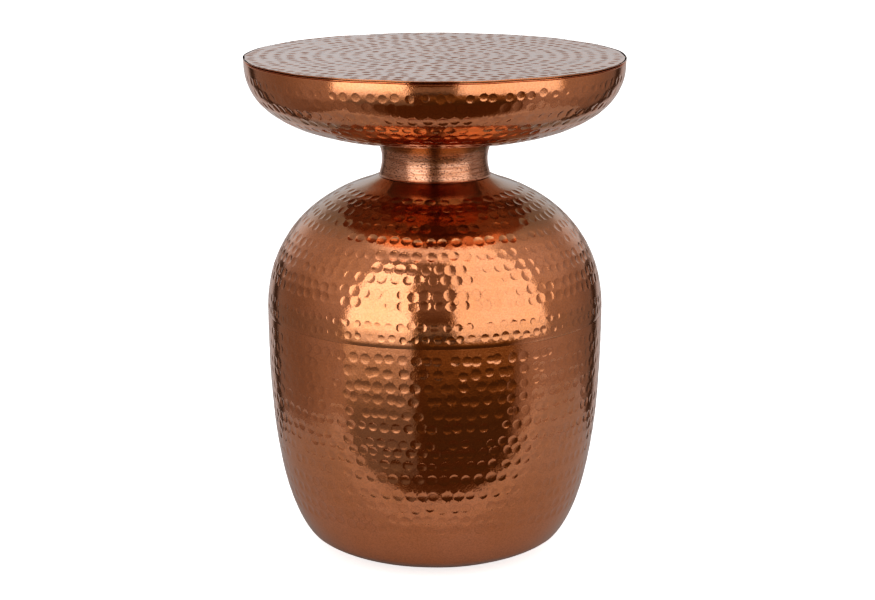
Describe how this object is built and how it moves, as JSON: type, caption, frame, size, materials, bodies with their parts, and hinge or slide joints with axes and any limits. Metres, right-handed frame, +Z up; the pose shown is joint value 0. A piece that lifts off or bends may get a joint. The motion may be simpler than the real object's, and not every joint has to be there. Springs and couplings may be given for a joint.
{
  "type": "side table",
  "caption": "Round side table: a hammered vase body, a turned neck and a closed flat top over a shallow bowl, all in a copper finish.",
  "frame": {"origin": "on the floor, under the middle of the table", "axes": "+Z up along the table's axis of revolution; the table is the same all round, so +X and +Y are free"},
  "size_m": [0.35, 0.35, 0.465],
  "materials": {
    "hammered_copper": "hammered sheet, antique copper plating under clear lacquer",
    "brushed_copper": "turned and brushed, antique copper plating",
    "plain_copper": "plain rolled sheet, dull antique copper plating",
    "steel": "zinc plated",
    "felt": "dark brown wool felt"
  },
  "bodies": {
    "root": {"table_top_disc": "hammered_copper", "top_bowl": "hammered_copper", "bolt_plate": "steel", "top_bolt": "steel", "neck_collar": "brushed_copper", "clamp_disc": "steel", "clamp_washer": "steel", "spring_washer": "steel", "clamp_nut": "steel", "upper_body_shell": "hammered_copper", "lower_body_shell": "hammered_copper", "belly_lap_ring": "hammered_copper", "base_plate": "plain_copper", "base_screw_1": "steel", "base_screw_2": "steel", "base_screw_3": "steel", "base_screw_4": "steel", "base_nut_1": "steel", "base_nut_2": "steel", "base_nut_3": "steel", "base_nut_4": "steel", "foot_pad_1": "felt", "foot_pad_2": "felt", "foot_pad_3": "felt", "foot_pad_4": "felt"}
  },
  "joints": []
}
